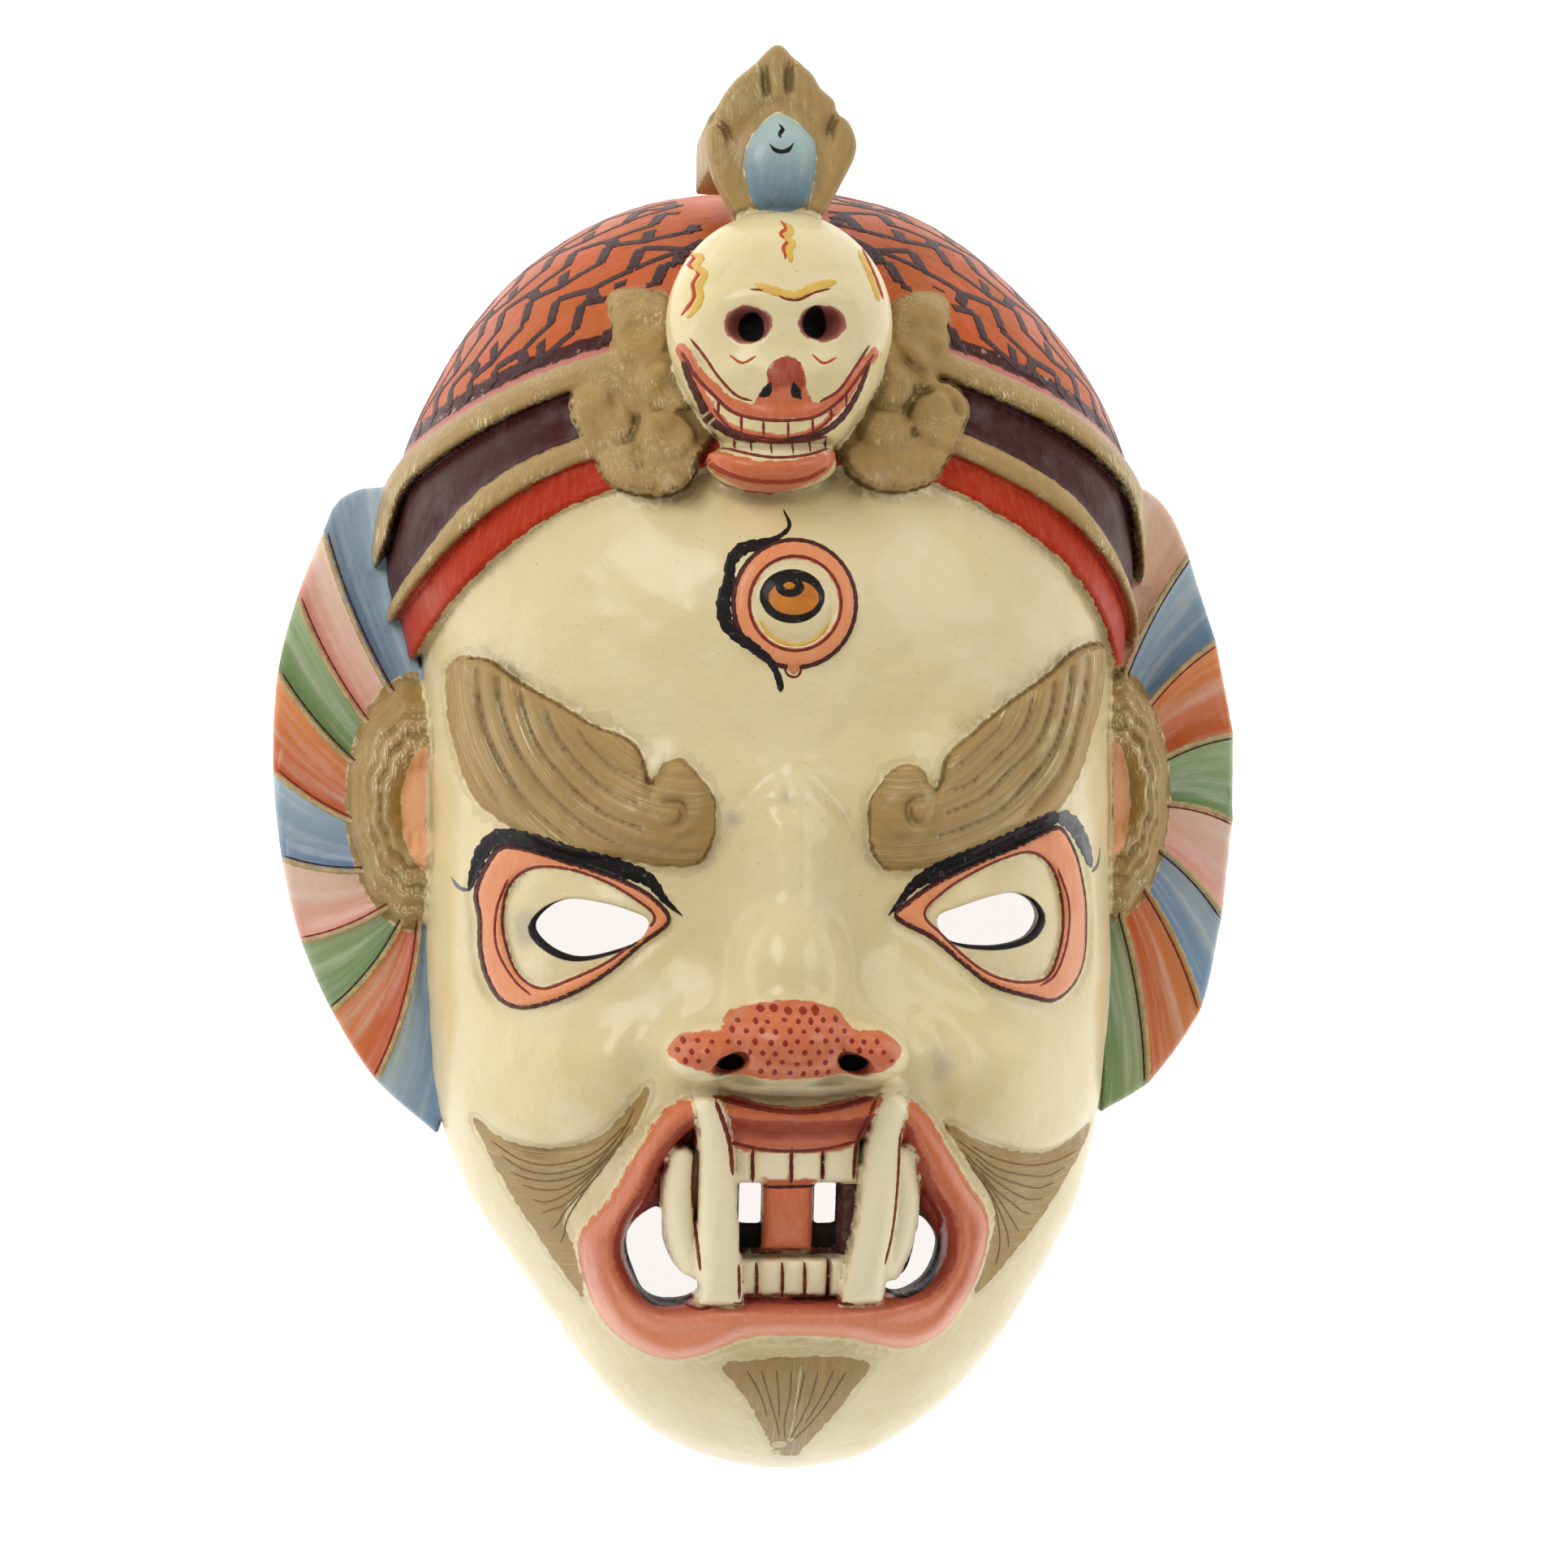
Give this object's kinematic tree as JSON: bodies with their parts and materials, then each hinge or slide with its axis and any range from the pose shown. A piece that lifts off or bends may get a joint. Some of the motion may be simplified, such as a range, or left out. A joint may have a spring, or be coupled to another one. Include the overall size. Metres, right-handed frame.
{
  "type": "carved wooden cham mask",
  "caption": "Wrathful three-eyed tusked dance mask carved in wood, with banded helmet, skull crest, ears and pleated side fans; hollow behind.",
  "frame": {"origin": "middle of the whole mask's box, on the plane of the flat back rim that it lies on", "axes": "+Z out of the face, away from the back rim; +Y to the crown and crest; +X to the viewer's right"},
  "size_m": [0.323, 0.4598, 0.184],
  "materials": {
    "painted_wood": "cream gesso over carved wood, painted in opaque colours and dull gold, glossy varnish, worn"
  },
  "bodies": {
    "root": {"mask": "painted_wood"}
  },
  "joints": []
}
